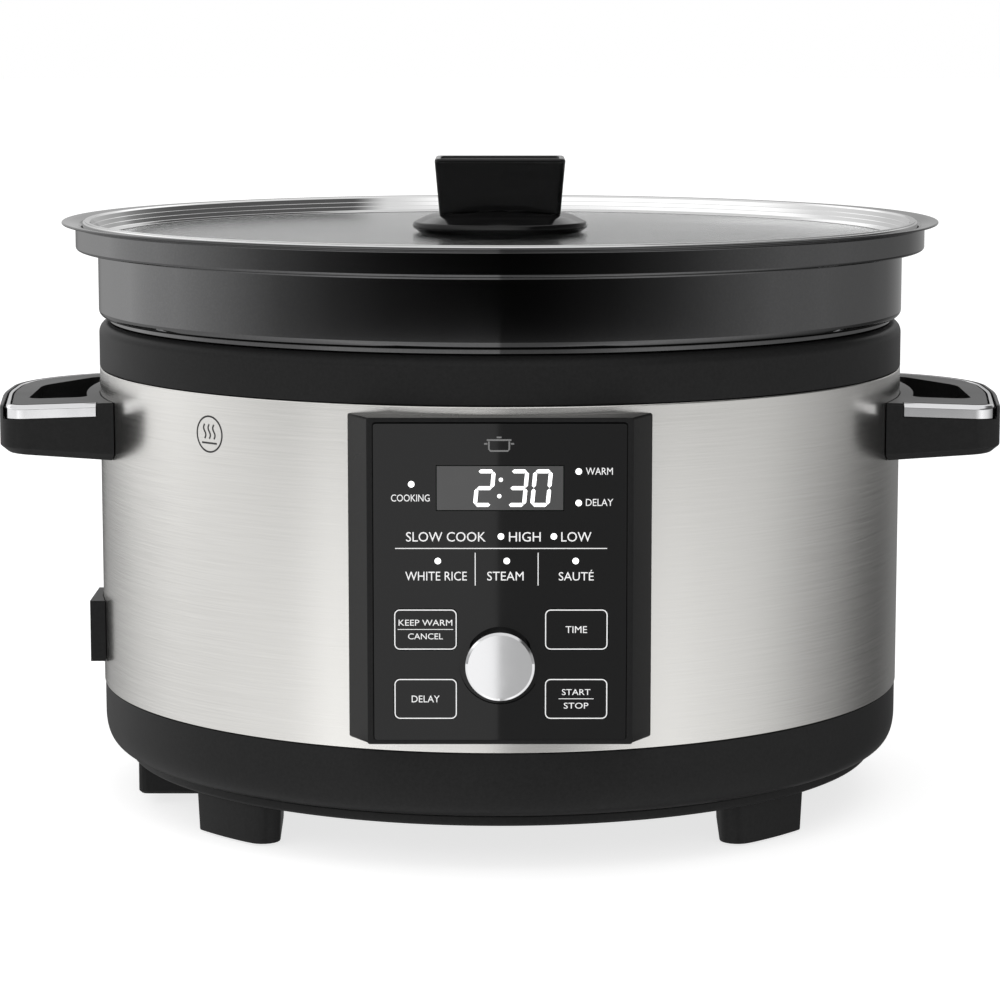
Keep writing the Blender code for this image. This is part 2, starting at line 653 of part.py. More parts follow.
def lid_knob():
    base = [(2.6, GLASS_TOP + GAP), (30.5, GLASS_TOP + GAP), (32.4, 210.9), (33.0, 212.0)]
    base += knob_dome(0) + [(2.6, 218.6)]
    turned("knob_base", base, gloss_black(), 32)
    grip = []
    levels = ((22.4, 12.5, 2.5, 215.0), (24.3, 15.3, 3.0, 236.9), (23.8, 14.8, 2.6, 237.8))
    for half_w, half_d, radius, height in levels:
        grip.append(raised(rounded_rectangle(half_w, half_d, radius, 4), height))
    made = lofted("knob_grip", grip, gloss_black())
    cutter = [(0, 200), (40, 200)] + knob_dome(GAP) + [(0, 218.6 + GAP)]
    cut(made, turned("knob_grip_seat", cutter, gloss_black(), 32))
    hollow = []
    for half_w, half_d, height in ((20.5, 11.3, 235.2), (21.8, 12.6, 239.0)):
        hollow.append(raised(rounded_rectangle(half_w, half_d, 2.0, 4), height))
    cut(made, lofted("knob_grip_dish", hollow, gloss_black()))
    cut(made, rod("knob_grip_bore", (0, 0, 210), (0, 0, 229), 2.6, gloss_black(), 16))
    turned("knob_washer", [(2.6, 204.4), (8.5, 204.4), (8.5, 205.7), (2.6, 205.7)], rubber(), 24)
    screw = rod("knob_screw", (0, 0, 204.1), (0, 0, 228), 2.2, bright_steel(), 16)
    join(screw, rod("knob_screw_head", (0, 0, 201.9), (0, 0, 204.101), 5.5, bright_steel(), 20))


def build():
    clear_scene()
    base_pan()
    bottom_cover()
    for row, sign_y in (("front", -1), ("rear", 1)):
        for hand, sign_x in (("left", -1), ("right", 1)):
            foot(f"foot_{row}_{hand}", f"foot_pad_{row}_{hand}", sign_x, sign_y)
    steel_shell()
    top_collar()
    heating_well()
    heat_plate()
    heat_shield()
    sensors()
    electronics()
    panel_bezel()
    control_plate()
    buttons()
    dial()
    for hand, side in (("left", -1), ("right", 1)):
        handle(f"handle_{hand}", side)
        handle_trim(f"handle_trim_{hand}", side)
        for row, end in (("front", -1), ("rear", 1)):
            handle_screw(f"handle_screw_{hand}_{row}", side, end)
    mains_inlet()
    wiring_cover()
    cooking_pot()
    lid()
    lid_knob()


build()
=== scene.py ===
import math

import bmesh
import bpy
from mathutils import Matrix, Vector


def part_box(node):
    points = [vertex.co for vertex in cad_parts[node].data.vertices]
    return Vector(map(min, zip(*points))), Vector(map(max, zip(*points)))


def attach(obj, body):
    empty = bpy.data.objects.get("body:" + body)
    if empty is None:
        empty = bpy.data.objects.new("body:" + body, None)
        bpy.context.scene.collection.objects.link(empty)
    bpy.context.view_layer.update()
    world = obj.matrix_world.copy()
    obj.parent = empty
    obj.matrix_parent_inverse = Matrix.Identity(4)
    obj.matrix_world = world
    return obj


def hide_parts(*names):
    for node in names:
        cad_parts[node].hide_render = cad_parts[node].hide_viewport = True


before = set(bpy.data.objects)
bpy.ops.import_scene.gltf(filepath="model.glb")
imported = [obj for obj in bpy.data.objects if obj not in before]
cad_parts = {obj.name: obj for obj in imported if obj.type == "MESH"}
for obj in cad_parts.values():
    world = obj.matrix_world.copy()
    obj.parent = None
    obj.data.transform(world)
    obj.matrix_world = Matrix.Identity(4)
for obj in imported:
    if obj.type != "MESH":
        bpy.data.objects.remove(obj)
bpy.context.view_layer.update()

# Slow cooker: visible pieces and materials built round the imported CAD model.
# Lengths in the tables below are millimetres; MM turns them into metres.
MM = 0.001
ROUND = 240                      # steps round a large turned piece
ARC_STEPS = 14                   # steps of an edge that follows the body
BUTTONS = ("keep_warm", "time", "delay", "start")
ROWS = ("front", "rear")
HANDS = {"left": -1, "right": 1}  # sign of x


# ---- places taken from the CAD model

def span(node):
    """Lowest and highest corner of a CAD node, in millimetres."""
    low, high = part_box(node)
    return low / MM, high / MM


def centre(node):
    """Middle of a CAD node's box, in millimetres."""
    low, high = span(node)
    return [(a + b) / 2 for a, b in zip(low, high)]


shell_low, shell_high = span("steel_shell")
collar_low, collar_high = span("top_collar")
pan_low, pan_high = span("base_pan")
cover_low, cover_high = span("bottom_cover")
pot_low, pot_high = span("cooking_pot")
rim_low, rim_high = span("lid_rim")
glass_low, glass_high = span("lid_glass")
dome_low, dome_high = span("knob_base")
grip_high = span("knob_grip")[1]
bezel_low, bezel_high = span("panel_bezel")
plate_low, plate_high = span("control_plate")
window_low = span("display_window")[0]
dial_low, dial_high = span("selector_dial")

BODY_R = shell_high.x
PANEL_FRONT = bezel_low.y
PLATE_FRONT = plate_low.y
DIAL_Z = centre("selector_dial")[2]


# ---- mesh tools

def placed(name, data):
    """New object in the scene, made of a mesh, text, light or camera."""
    thing = bpy.data.objects.new(name, data)
    bpy.context.scene.collection.objects.link(thing)
    return thing


def new_object(name, mesh_data, surface, sharp=32.0):
    """A bmesh in millimetres becomes a named, smooth-shaded object in metres."""
    bmesh.ops.recalc_face_normals(mesh_data, faces=mesh_data.faces)
    bmesh.ops.scale(mesh_data, vec=(MM, MM, MM), verts=mesh_data.verts)
    mesh = bpy.data.meshes.new(name)
    mesh_data.to_mesh(mesh)
    mesh_data.free()
    mesh.shade_smooth()
    mesh.set_sharp_from_angle(angle=math.radians(sharp))
    mesh.materials.append(surface)
    return placed(name, mesh)


def filleted(points, steps):
    """Replace corners of a closed (a, b, radius) path with arcs; the radius may be left out."""
    path = []
    for i, point in enumerate(points):
        here = Vector(point[:2])
        if len(point) < 3:
            path.append(tuple(here))
            continue
        radius = point[2]
        before = (Vector(points[i - 1][:2]) - here).normalized()
        after = (Vector(points[(i + 1) % len(points)][:2]) - here).normalized()
        half = before.angle(after) / 2
        reach = radius / math.tan(half)
        middle = here + (before + after).normalized() * (radius / math.sin(half))
        start, end = here + before * reach - middle, here + after * reach - middle
        turn = start.angle_signed(end)
        for k in range(steps + 1):
            bent = start.copy()
            bent.rotate(Matrix.Rotation(-turn * k / steps, 2))
            path.append(tuple(middle + bent))
    return path


def turned(name, profile, surface, steps=ROUND, sharp=32.0):
    """A solid of revolution about Z from a closed outline of (radius, height)."""
    made = bmesh.new()
    rings = []
    for radius, height in profile:
        if radius < 1e-6:
            rings.append([made.verts.new((0, 0, height))])
            continue
        turns = [2 * math.pi * i / steps for i in range(steps)]
        rings.append([made.verts.new((radius * math.cos(t), radius * math.sin(t), height)) for t in turns])
    for low, high in zip(rings, rings[1:] + rings[:1]):
        if len(low) == 1 and len(high) == 1:
            continue
        for i in range(steps):
            j = (i + 1) % steps
            if len(low) == 1:
                made.faces.new((low[0], high[i], high[j]))
            elif len(high) == 1:
                made.faces.new((low[i], low[j], high[0]))
            else:
                made.faces.new((low[i], low[j], high[j], high[i]))
    return new_object(name, made, surface, sharp)


def lofted(name, loops, surface, ring=False, sharp=32.0):
    """A solid through equal-length loops of points; a ring joins its last loop to its first."""
    made = bmesh.new()
    rows = [[made.verts.new(point) for point in loop] for loop in loops]
    count = len(rows[0])
    pairs = list(zip(rows, rows[1:]))
    if ring:
        pairs.append((rows[-1], rows[0]))
    for low, high in pairs:
        for i in range(count):
            j = (i + 1) % count
            made.faces.new((low[i], low[j], high[j], high[i]))
    if not ring:
        made.faces.new(list(reversed(rows[0])))
        made.faces.new(rows[-1])
    return new_object(name, made, surface, sharp)


def swept(name, paths, surface, sharp=32.0):
    """A bar through open paths that bound its section, one after the other, with closed ends."""
    made = bmesh.new()
    rows = [[made.verts.new(point) for point in path] for path in paths]
    for low, high in zip(rows, rows[1:] + rows[:1]):
        for i in range(len(low) - 1):
            made.faces.new((low[i], low[i + 1], high[i + 1], high[i]))
    made.faces.new([row[0] for row in rows])
    made.faces.new([row[-1] for row in reversed(rows)])
    return new_object(name, made, surface, sharp)


def rounded_rectangle(half_w, half_h, radius, steps=6, extra=0):
    """Corner-rounded rectangle about the origin; extra points divide its straight edges."""
    points = []
    corners = ((1, 1, 0), (-1, 1, 90), (-1, -1, 180), (1, -1, 270))
    for sign_x, sign_y, start in corners:
        for i in range(steps + 1):
            turn = math.radians(start + 90 * i / steps)
            points.append((sign_x * (half_w - radius) + radius * math.cos(turn),
                           sign_y * (half_h - radius) + radius * math.sin(turn)))
    divided = []
    for i, point in enumerate(points):
        divided.append(point)
        if i % (steps + 1) == steps:
            after = points[(i + 1) % len(points)]
            for k in range(1, extra + 1):
                share = k / (extra + 1)
                divided.append(tuple(a + (b - a) * share for a, b in zip(point, after)))
    return divided


def carve(target, tools, sharp=32.0):
    """Cut tools out of a piece, apply the cuts and throw the tools away."""
    for tool in tools:
        step = target.modifiers.new(tool.name, "BOOLEAN")
        step.operation = "DIFFERENCE"
        step.solver = "EXACT"
        step.object = tool
    shape = target.evaluated_get(bpy.context.evaluated_depsgraph_get())
    mesh = bpy.data.meshes.new_from_object(shape)
    target.modifiers.clear()
    target.data = mesh
    for tool in tools:
        bpy.data.objects.remove(tool, do_unlink=True)
    mesh.set_sharp_from_angle(angle=math.radians(sharp))


def box_tool(name, low, high):
    """Box between two corners, to cut with."""
    made = bmesh.new()
    bmesh.ops.create_cube(made, size=1.0)
    low, high = Vector(low), Vector(high)
    for vert in made.verts:
        vert.co = Vector([(low[k] + high[k]) / 2 + vert.co[k] * (high[k] - low[k]) for k in range(3)])
    return new_object(name, made, plain)


def rod_tool(name, start, end, radius, steps=32):
    """Rod between two points, to cut with."""
    start, end = Vector(start), Vector(end)
    along = (end - start).normalized()
    side = along.orthogonal().normalized()
    other = along.cross(side)
    loops = []
    for point in (start, end):
        turns = [2 * math.pi * i / steps for i in range(steps)]
        loops.append([point + radius * (math.cos(t) * side + math.sin(t) * other) for t in turns])
    return lofted(name, loops, plain)


# ---- materials

class Nodes:
    """Short ways to add nodes to a material or to the surroundings."""

    def __init__(self, tree):
        self.tree = tree

    def node(self, kind, **settings):
        made = self.tree.nodes.new(kind)
        for key, value in settings.items():
            setattr(made, key, value)
        return made

    def link(self, start, end):
        self.tree.links.new(start, end)

    def preset(self, node, **values):
        """Set sockets by name, with underscores for spaces."""
        for key, value in values.items():
            node.inputs[key.replace("_", " ")].default_value = value

    def fill(self, sockets, values):
        """Set or link each socket: a number is set, another node's output is linked."""
        for socket, value in zip(sockets, values):
            if isinstance(value, (int, float)):
                socket.default_value = value
            elif value is not None:
                self.link(value, socket)

    def math(self, operation, first, second=None):
        made = self.node("ShaderNodeMath", operation=operation)
        self.fill(made.inputs, (first, second))
        return made.outputs[0]

    def range(self, value, low, high, start=0.25, end=0.75, kind="LINEAR"):
        made = self.node("ShaderNodeMapRange", interpolation_type=kind)
        self.link(value, made.inputs["Value"])
        self.preset(made, From_Min=start, From_Max=end, To_Min=low, To_Max=high)
        return made.outputs[0]

    def step(self, value, start, end, low=0.0, high=1.0):
        """Smooth change from one value to another between two positions."""
        return self.range(value, low, high, start, end, "SMOOTHSTEP")

    def length(self, x, y):
        """Distance from the Z axis."""
        squares = self.math("ADD", self.math("MULTIPLY", x, x), self.math("MULTIPLY", y, y))
        return self.math("SQRT", squares)

    def curve(self, value, stops):
        """Look a value up in a table of (position, grey level)."""
        made = self.node("ShaderNodeValToRGB")
        self.link(value, made.inputs[0])
        elements = made.color_ramp.elements
        while len(elements) < len(stops):
            elements.new(0.5)
        for element, (position, level) in zip(elements, stops):
            element.position = position
            element.color = (level, level, level, 1)
        return made.outputs["Color"]

    def blend(self, share, first, second):
        made = self.node("ShaderNodeMix", data_type="FLOAT")
        self.fill((made.inputs[0], made.inputs[2], made.inputs[3]), (share, first, second))
        return made.outputs[0]


class Surface(Nodes):
    """A material with its shader and the patterns that drive it."""

    def __init__(self, name, colour, roughness, metallic=0.0, **sockets):
        self.material = bpy.data.materials.new(name)
        self.material.use_nodes = True
        super().__init__(self.material.node_tree)
        self.shader = self.tree.nodes["Principled BSDF"]
        self.preset(self.shader, Base_Color=(*colour, 1.0), Roughness=roughness, Metallic=metallic)
        self.preset(self.shader, **sockets)

    def feed(self, value, socket):
        self.link(value, self.shader.inputs[socket])

    def place(self):
        return self.node("ShaderNodeTexCoord").outputs["Object"]

    def noise(self, vector, scale, detail=3.0, rough=0.5):
        made = self.node("ShaderNodeTexNoise")
        self.preset(made, Scale=scale, Detail=detail, Roughness=rough)
        self.link(vector, made.inputs["Vector"])
        return made.outputs["Fac"]

    def bump(self, height, strength, distance):
        made = self.node("ShaderNodeBump")
        self.preset(made, Strength=strength, Distance=distance)
        self.link(height, made.inputs["Height"])
        return made.outputs[0]

    def tint(self, value, dark, light):
        made = self.node("ShaderNodeMix", data_type="RGBA")
        made.inputs[6].default_value = (*dark, 1)
        made.inputs[7].default_value = (*light, 1)
        self.link(value, made.inputs[0])
        return made.outputs[2]

    def around(self, along, across):
        """Coordinates stretched round the Z axis: lines run round the piece."""
        split = self.node("ShaderNodeSeparateXYZ")
        self.link(self.place(), split.inputs[0])
        x, y, z = split.outputs
        turn = self.math("ARCTAN2", y, x)
        radius = self.length(x, y)
        made = self.node("ShaderNodeCombineXYZ")
        self.link(self.math("MULTIPLY", turn, along), made.inputs[0])
        self.link(self.math("MULTIPLY", z, across), made.inputs[1])
        self.link(self.math("MULTIPLY", radius, across), made.inputs[2])
        return made.outputs[0]


def moulded(name, colour, roughness, grain=0.05, size=900.0, specular=0.4):
    """Moulded plastic: fine grain, and slow changes of gloss."""
    made = Surface(name, colour, roughness, Specular_IOR_Level=specular)
    fine = made.noise(made.place(), size, 2.0)
    slow = made.noise(made.place(), 14.0, 4.0)
    made.feed(made.range(slow, roughness - 0.03, roughness + 0.04, 0.35, 0.65), "Roughness")
    lighter = [c * 1.25 + 0.0005 for c in colour]
    made.feed(made.tint(made.range(fine, 0.0, 1.0), colour, lighter), "Base Color")
    made.feed(made.bump(fine, grain, 0.0001), "Normal")
    return made.material


def brushed(name, dark, light, roughness, lines=3600.0, run=5.0, depth=0.02, anisotropy=0.3):
    """Metal with fine lines that run round the Z axis."""
    made = Surface(name, light, roughness, 1.0, Anisotropic=anisotropy, Anisotropic_Rotation=0.25)
    fine = made.noise(made.around(run, lines), 1.0, 3.0, 0.6)
    made.feed(made.tint(made.range(fine, 0.0, 1.0, 0.3, 0.7), dark, light), "Base Color")
    made.feed(made.range(fine, roughness - 0.03, roughness + 0.04, 0.3, 0.7), "Roughness")
    made.feed(made.bump(fine, depth, 0.0001), "Normal")
    tangent = made.node("ShaderNodeTangent", direction_type="RADIAL", axis="Z")
    made.feed(tangent.outputs[0], "Tangent")
    return made.material


def polished(name, colour, roughness, smear=0.02):
    """Bright metal with faint smears in its gloss."""
    made = Surface(name, colour, roughness, 1.0)
    slow = made.noise(made.place(), 60.0, 4.0)
    made.feed(made.range(slow, max(roughness - smear, 0.01), roughness + smear), "Roughness")
    made.feed(made.tint(made.range(slow, 0.0, 1.0), [c * 0.97 for c in colour], colour), "Base Color")
    return made.material


def coated(name):
    """Dark non-stick coating: dim metallic sheen, with a fine speckle."""
    made = Surface(name, (0.1, 0.1, 0.101), 0.05, 1.0)
    speckle = made.noise(made.place(), 1400.0, 3.0, 0.7)
    slow = made.noise(made.place(), 20.0, 3.0)
    dark, light = (0.094, 0.094, 0.095), (0.112, 0.112, 0.113)
    made.feed(made.tint(made.range(speckle, 0.0, 1.0, 0.4, 0.75), dark, light), "Base Color")
    made.feed(made.range(slow, 0.045, 0.06), "Roughness")
    made.feed(made.bump(speckle, 0.004, 0.0001), "Normal")
    return made.material


def glass():
    """Clear glass with a slightly rough surface."""
    made = Surface("clear_glass", (0.97, 0.99, 0.985), 0.2, 0.0, Transmission_Weight=1.0, IOR=1.5)
    slow = made.noise(made.place(), 30.0, 3.0)
    made.feed(made.range(slow, 0.19, 0.22), "Roughness")
    return made.material


def gloss_panel(name, colour, roughness, specular):
    """Gloss-finished plastic, with a faint change of gloss."""
    made = Surface(name, colour, roughness, 0.0, Specular_IOR_Level=specular)
    slow = made.noise(made.place(), 45.0, 2.0)
    made.feed(made.range(slow, roughness * 0.6, roughness * 1.4), "Roughness")
    made.feed(made.tint(made.range(slow, 0.0, 1.0), colour, [c * 1.15 for c in colour]), "Base Color")
    return made.material


def circuit_board():
    """Green board with copper tracks under the solder mask."""
    made = Surface("circuit_board", (0.02, 0.16, 0.06), 0.35)
    tracks = made.node("ShaderNodeTexBrick")
    made.preset(tracks, Scale=90.0, Mortar_Size=0.03, Color1=(0.015, 0.12, 0.045, 1),
                Color2=(0.02, 0.16, 0.06, 1), Mortar=(0.05, 0.25, 0.1, 1))
    made.link(made.place(), tracks.inputs["Vector"])
    made.feed(tracks.outputs["Color"], "Base Color")
    made.feed(made.bump(tracks.outputs["Fac"], 0.3, 0.0002), "Normal")
    return made.material


def printed(name, colour, strength=0.0):
    """Printing ink or a lit mark, slightly uneven; emission on ink is a painted glow."""
    made = Surface(name, colour, 0.5, Emission_Color=(*colour, 1), Emission_Strength=strength)
    uneven = made.noise(made.place(), 2500.0, 2.0)
    made.feed(made.tint(made.range(uneven, 0.0, 1.0), [c * 0.92 for c in colour], colour), "Base Color")
    return made.material


plain = bpy.data.materials.new("plain")
housing_black = moulded("housing_black", (0.015, 0.015, 0.0151), 0.34, specular=0.08)
handle_black = moulded("handle_black", (0.015, 0.015, 0.0151), 0.32, specular=0.1)
bezel_black = moulded("bezel_black", (0.012, 0.012, 0.0121), 0.3, specular=0.12)
knob_black = moulded("knob_black", (0.003, 0.003, 0.0031), 0.1, 0.01, 500.0, 0.3)
panel_black = gloss_panel("panel_black", (0.0025, 0.0025, 0.0026), 0.02, 0.36)
window_grey = gloss_panel("window_grey", (0.07, 0.07, 0.07), 0.03, 0.36)
shell_steel = brushed("shell_steel", (0.725, 0.715, 0.69), (0.81, 0.8, 0.775), 0.23)
rim_steel = brushed("rim_steel", (0.82, 0.82, 0.82), (0.88, 0.88, 0.88), 0.05, 2600.0, 4.0, 0.004, 0.0)
trim_chrome = polished("trim_chrome", (0.86, 0.86, 0.87), 0.07)
dial_metal = polished("dial_metal", (0.84, 0.84, 0.85), 0.03, 0.01)
plain_metal = brushed("plain_metal", (0.5, 0.5, 0.5), (0.68, 0.68, 0.69), 0.35, 2000.0, 6.0, 0.03, 0.4)
screw_zinc = polished("screw_zinc", (0.62, 0.62, 0.64), 0.25, 0.08)
contact_brass = polished("contact_brass", (0.78, 0.62, 0.36), 0.2, 0.05)
pot_coating = coated("pot_coating")
lid_clear = glass()
pad_rubber = moulded("pad_rubber", (0.01, 0.01, 0.01), 0.7, 0.2, 700.0, 0.3)
case_grey = moulded("case_grey", (0.08, 0.08, 0.09), 0.45)
board_green = circuit_board()
# The white and grey inks carry a little emission: a painted glow on print, which is no lamp.
white_ink_painted_glow = printed("white_ink_painted_glow", (0.82, 0.82, 0.82), 0.25)
grey_ink_painted_glow = printed("grey_ink_painted_glow", (0.2, 0.2, 0.2), 0.02)
ink_dark = printed("ink_dark", (0.02, 0.02, 0.02))
lamp_white = printed("lamp_white", (1.0, 1.0, 1.0), 1.0)


# ---- housing

def even_normals(piece):
    """Keep the shading of flat faces flat beside small fillets."""
    even = piece.modifiers.new("even_normals", "WEIGHTED_NORMAL")
    even.keep_sharp = True


def softened(piece, width, angle):
    """Round the edges where faces meet at more than an angle in degrees."""
    soften = piece.modifiers.new("soften", "BEVEL")
    soften.width = width * MM
    soften.segments = 3
    soften.limit_method = "ANGLE"
    soften.angle_limit = math.radians(angle)


def stand_in(piece, body, slot, *nodes):
    """Attach a piece to a body and let it replace CAD nodes; the slot argument is not used."""
    even_normals(piece)
    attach(piece, body)
    if nodes:
        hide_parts(*nodes)


def steel_sleeve():
    """Brushed sleeve, open behind the panel and for the inlet and the handle screws."""
    bottom, top, inner_r = shell_low.z, shell_high.z, BODY_R - 0.8
    corners = [(BODY_R, bottom, 0.3), (BODY_R, top, 0.6), (inner_r, top, 0.2), (inner_r, bottom, 0.2)]
    sleeve = turned("shell", filleted(corners, 3), shell_steel)
    inlet_low, inlet_high = span("mains_inlet")
    lap_y, lap_z = 1.8, 1.5          # the opening is this much smaller than the inlet
    tools = [box_tool("window_tool", (-40, -160, 54), (40, -120, 150)),
             box_tool("inlet_tool", (-160, inlet_low.y + lap_y, inlet_low.z + lap_z),
                      (-130, inlet_high.y - lap_y, inlet_high.z - lap_z))]
    for side in HANDS.values():
        for row in ROWS:
            _, y, z = centre(f"handle_screw_right_{row}")
            tools.append(rod_tool("screw_tool", (side * 130, y, z), (side * 165, y, z), 2.2))
    carve(sleeve, tools)
    stand_in(sleeve, "housing", "brushed_steel", "steel_shell")


def collar():
    """Black ring above the sleeve, with a shelf under the pot's shoulder and a skirt in the sleeve."""
    bottom, top, seam = collar_low.z, collar_high.z, shell_high.z + 0.3
    well_edge, shelf_low, skirt_inner, skirt_outer = 132.5, 174.5, 146.4, 148.9
    points = [(BODY_R, seam, 0.3), (BODY_R, top, 4.0), (well_edge + 2.5, top, 1.0),
              (well_edge, top - 2.5, 0.6), (well_edge, shelf_low, 0.3), (skirt_inner, shelf_low, 0.5),
              (skirt_inner, bottom, 0.3), (skirt_outer, bottom, 0.3), (skirt_outer, seam, 0.2)]
    made = turned("collar", filleted(points, 6), housing_black)
    stand_in(made, "housing", "housing_plastic", "top_collar")


def base():
    """Base pan with a smooth bowl-shaped lower edge, and the cover; both cut for the cover screws."""
    outer_r, bottom, seam = pan_high.x, pan_low.z, shell_low.z - 0.3
    curve_top, inset, wall = 33.2, 9.8, 2.5
    power, steps = 2 / 2.9, 24
    skirt_inner, skirt_outer = 146.6, 148.9
    bowl = []
    for i in range(steps + 1):
        turn = math.pi / 2 * i / steps
        bowl.append((outer_r - inset * (1 - math.cos(turn) ** power),
                     curve_top - (curve_top - bottom) * math.sin(turn) ** power))
    outer = [(outer_r - 0.4, seam), (outer_r - 0.1, seam - 0.1), (outer_r, seam - 0.4)] + bowl
    inner = [(outer_r - inset - wall, bottom + wall), (outer_r - wall - 1.2, curve_top - 6),
             (outer_r - wall - 0.6, curve_top), (skirt_inner, seam - 0.7), (skirt_inner, pan_high.z),
             (skirt_outer, pan_high.z), (skirt_outer, seam)]
    pan = turned("pan", outer + [(0, bottom), (0, bottom + wall)] + inner, housing_black)
    edge = [(0, cover_low.z), (cover_high.x, cover_low.z, 1.2), (cover_high.x, cover_high.z, 0.6),
            (0, cover_high.z)]
    plate = turned("cover", filleted(edge, 5), housing_black)
    for piece in (pan, plate):
        tools = []
        for i in range(1, 5):
            x, y, _ = centre(f"base_screw_{i}")
            tools.append(rod_tool("screw_tool", (x, y, 5), (x, y, 25.2), 2.0))
        carve(piece, tools)
    stand_in(pan, "housing", "housing_plastic", "base_pan")
    stand_in(plate, "housing", "housing_plastic", "bottom_cover")


def foot(row, hand):
    """Foot with its outer face on a circle, a slight draft, a softened lower edge and a pad pocket."""
    name = f"foot_{row}_{hand}"
    low, high = span(name)
    sign_x = HANDS[hand]
    sign_y = -1 if row == "front" else 1
    circle, inner, outer, back = 138.5, 76.8, 108.4, 64.0

    def outline(inset, height):
        radius, near, far, rear = circle - inset, inner + inset, outer - inset, back + inset
        corners = [(near + 1.5, rear, 4), (near, math.sqrt(radius ** 2 - near ** 2), 6)]
        first, last = math.acos(near / radius), math.acos(far / radius)
        for k in range(12, 31):
            turn = first + (last - first) * k / 32
            corners.append((radius * math.cos(turn), radius * math.sin(turn)))
        corners += [(far, math.sqrt(radius ** 2 - far ** 2), 2), (far, rear, 4)]
        return [(sign_x * x, sign_y * y, height) for x, y in filleted(corners, 8)]

    levels = ((1.1, low.z), (0.75, low.z + 0.12), (0.62, low.z + 0.45), (0.0, high.z))
    made = lofted(f"{name}_block", [outline(inset, z) for inset, z in levels], housing_black)
    pad_x, pad_y = [abs(value) for value in centre(f"foot_pad_{row}_{hand}")[:2]]
    pocket = [(sign_x * (pad_x + x), sign_y * (pad_y + y)) for x, y in rounded_rectangle(10.3, 8.3, 3.3)]
    carve(made, [lofted("pocket_tool", [[(x, y, z) for x, y in pocket] for z in (-1, low.z + 1.8)], plain)])
    stand_in(made, "housing", "housing_plastic", name)


def panel_frame():
    """Panel bezel: slanted cheeks, softened edges, a recess for the plate and an open middle."""
    middle = (bezel_low.z + bezel_high.z) / 2
    half_h = (bezel_high.z - bezel_low.z) / 2
    root, face = bezel_high.x, 44.6
    back_r = BODY_R + 0.25
    recess_w, recess_h = plate_high.x + 0.3, (plate_high.z - plate_low.z) / 2 + 0.3
    recess_y = plate_high.y + 0.4
    open_w, open_h, extra = 39, 47, 12

    def loop(half_w, half_height, corner, depth):
        points = []
        for x, z in rounded_rectangle(half_w, half_height, corner, 4, extra):
            y = -math.sqrt(back_r ** 2 - x * x) if depth is None else depth
            points.append((x, y, middle + z))
        return points

    loops = [loop(root, half_h, 0.8, None), loop(root, half_h, 0.8, -141.4)]
    loops[1] = [(x, min(y, back[1] - 0.05), z) for (x, y, z), back in zip(loops[1], loops[0])]
    for inset, step in ((0.45, 0.75), (0.2, 0.3), (0.35, 0.08), (0.8, 0.0)):
        loops.append(loop(face - inset + 0.25, half_h - inset * 0.5, 0.8, PANEL_FRONT + step))
    loops += [loop(recess_w + 0.15, recess_h + 0.15, 1.35, PANEL_FRONT),
              loop(recess_w, recess_h, 1.2, PANEL_FRONT + 0.15), loop(recess_w, recess_h, 1.2, recess_y),
              loop(open_w, open_h, 1.0, recess_y), loop(open_w, open_h, 1.0, None)]
    bezel = lofted("bezel", loops, bezel_black, ring=True, sharp=25)
    stand_in(bezel, "housing", "panel_plastic", "panel_bezel")


def metal_dial():
    """Dial with a bright flat face, a fine chamfer, a thin skirt at the back and a bore for the shaft."""
    front, back, radius = -dial_low.y, -dial_high.y, dial_high.x
    bore, bore_end = 3.2, front - 1.8
    points = [(0, front), (radius - 0.9, front, 0.15), (radius - 0.05, front - 0.55, 0.2),
              (radius, back - 1.0, 0.1), (radius - 0.5, back - 0.8, 0.1), (radius - 0.5, back), (bore, back),
              (bore, bore_end), (0, bore_end)]
    made = turned("dial_cap", filleted(points, 4), dial_metal, 128, 20)
    made.data.transform(Matrix.Rotation(math.radians(90), 4, "X"))
    made.data.transform(Matrix.Translation((0, 0, DIAL_Z * MM)))
    stand_in(made, "dial", "dial_metal", "selector_dial")


# ---- handles

# Plan: how far the front corner, the bulge and the rear corner reach, and the radius of each.
FRONT_REACH, MID_REACH, REAR_REACH = 181.5, 187.0, 186.5
FRONT_CORNER, MID_RADIUS, REAR_CORNER = 11.0, 150.0, 38.0
MID_Y, HALF = -5.0, 55.0         # where the bulge is, and half the depth of the handle
HANDLE_TOP, HANDLE_LOW = 151.4, 130.2
TRIM_LOW, TRIM_T, BORDER = 146.7, 3.6, 1.8
TOP_SLOPE, LOW_SLOPE = -0.033, 0.066
SLOPE_START, MIDDLE_Z = 143, 140  # the slopes' first x, and the height that parts the two slopes


def tilted(outline, z, side):
    """Set an outline at a height; the loop gets thinner away from the body."""
    slope = TOP_SLOPE if z > MIDDLE_Z else LOW_SLOPE
    return [(-side * x, y, z + slope * (-x - SLOPE_START)) for x, y in outline]


def body_arc(radius, first, last):
    """Points between two turns of a circle round the body, on the left side."""
    turns = [first + (last - first) * i / ARC_STEPS for i in range(1, ARC_STEPS)]
    return [(-radius * math.cos(turn), radius * math.sin(turn)) for turn in turns]


def loop_outline(inset, z, side):
    """One level of a handle: round the loop and back along the body."""
    half = HALF - inset
    inner_r = BODY_R + 0.3
    root_x = -math.sqrt(inner_r ** 2 - half ** 2)
    edge = math.asin(half / inner_r)
    corners = [(root_x, half), (inset - REAR_REACH, half, REAR_CORNER - inset),
               (inset - MID_REACH, MID_Y, MID_RADIUS), (inset - FRONT_REACH, -half, FRONT_CORNER - inset),
               (root_x, -half)]
    return tilted(filleted(corners + body_arc(inner_r, -edge, edge), 12), z, side)


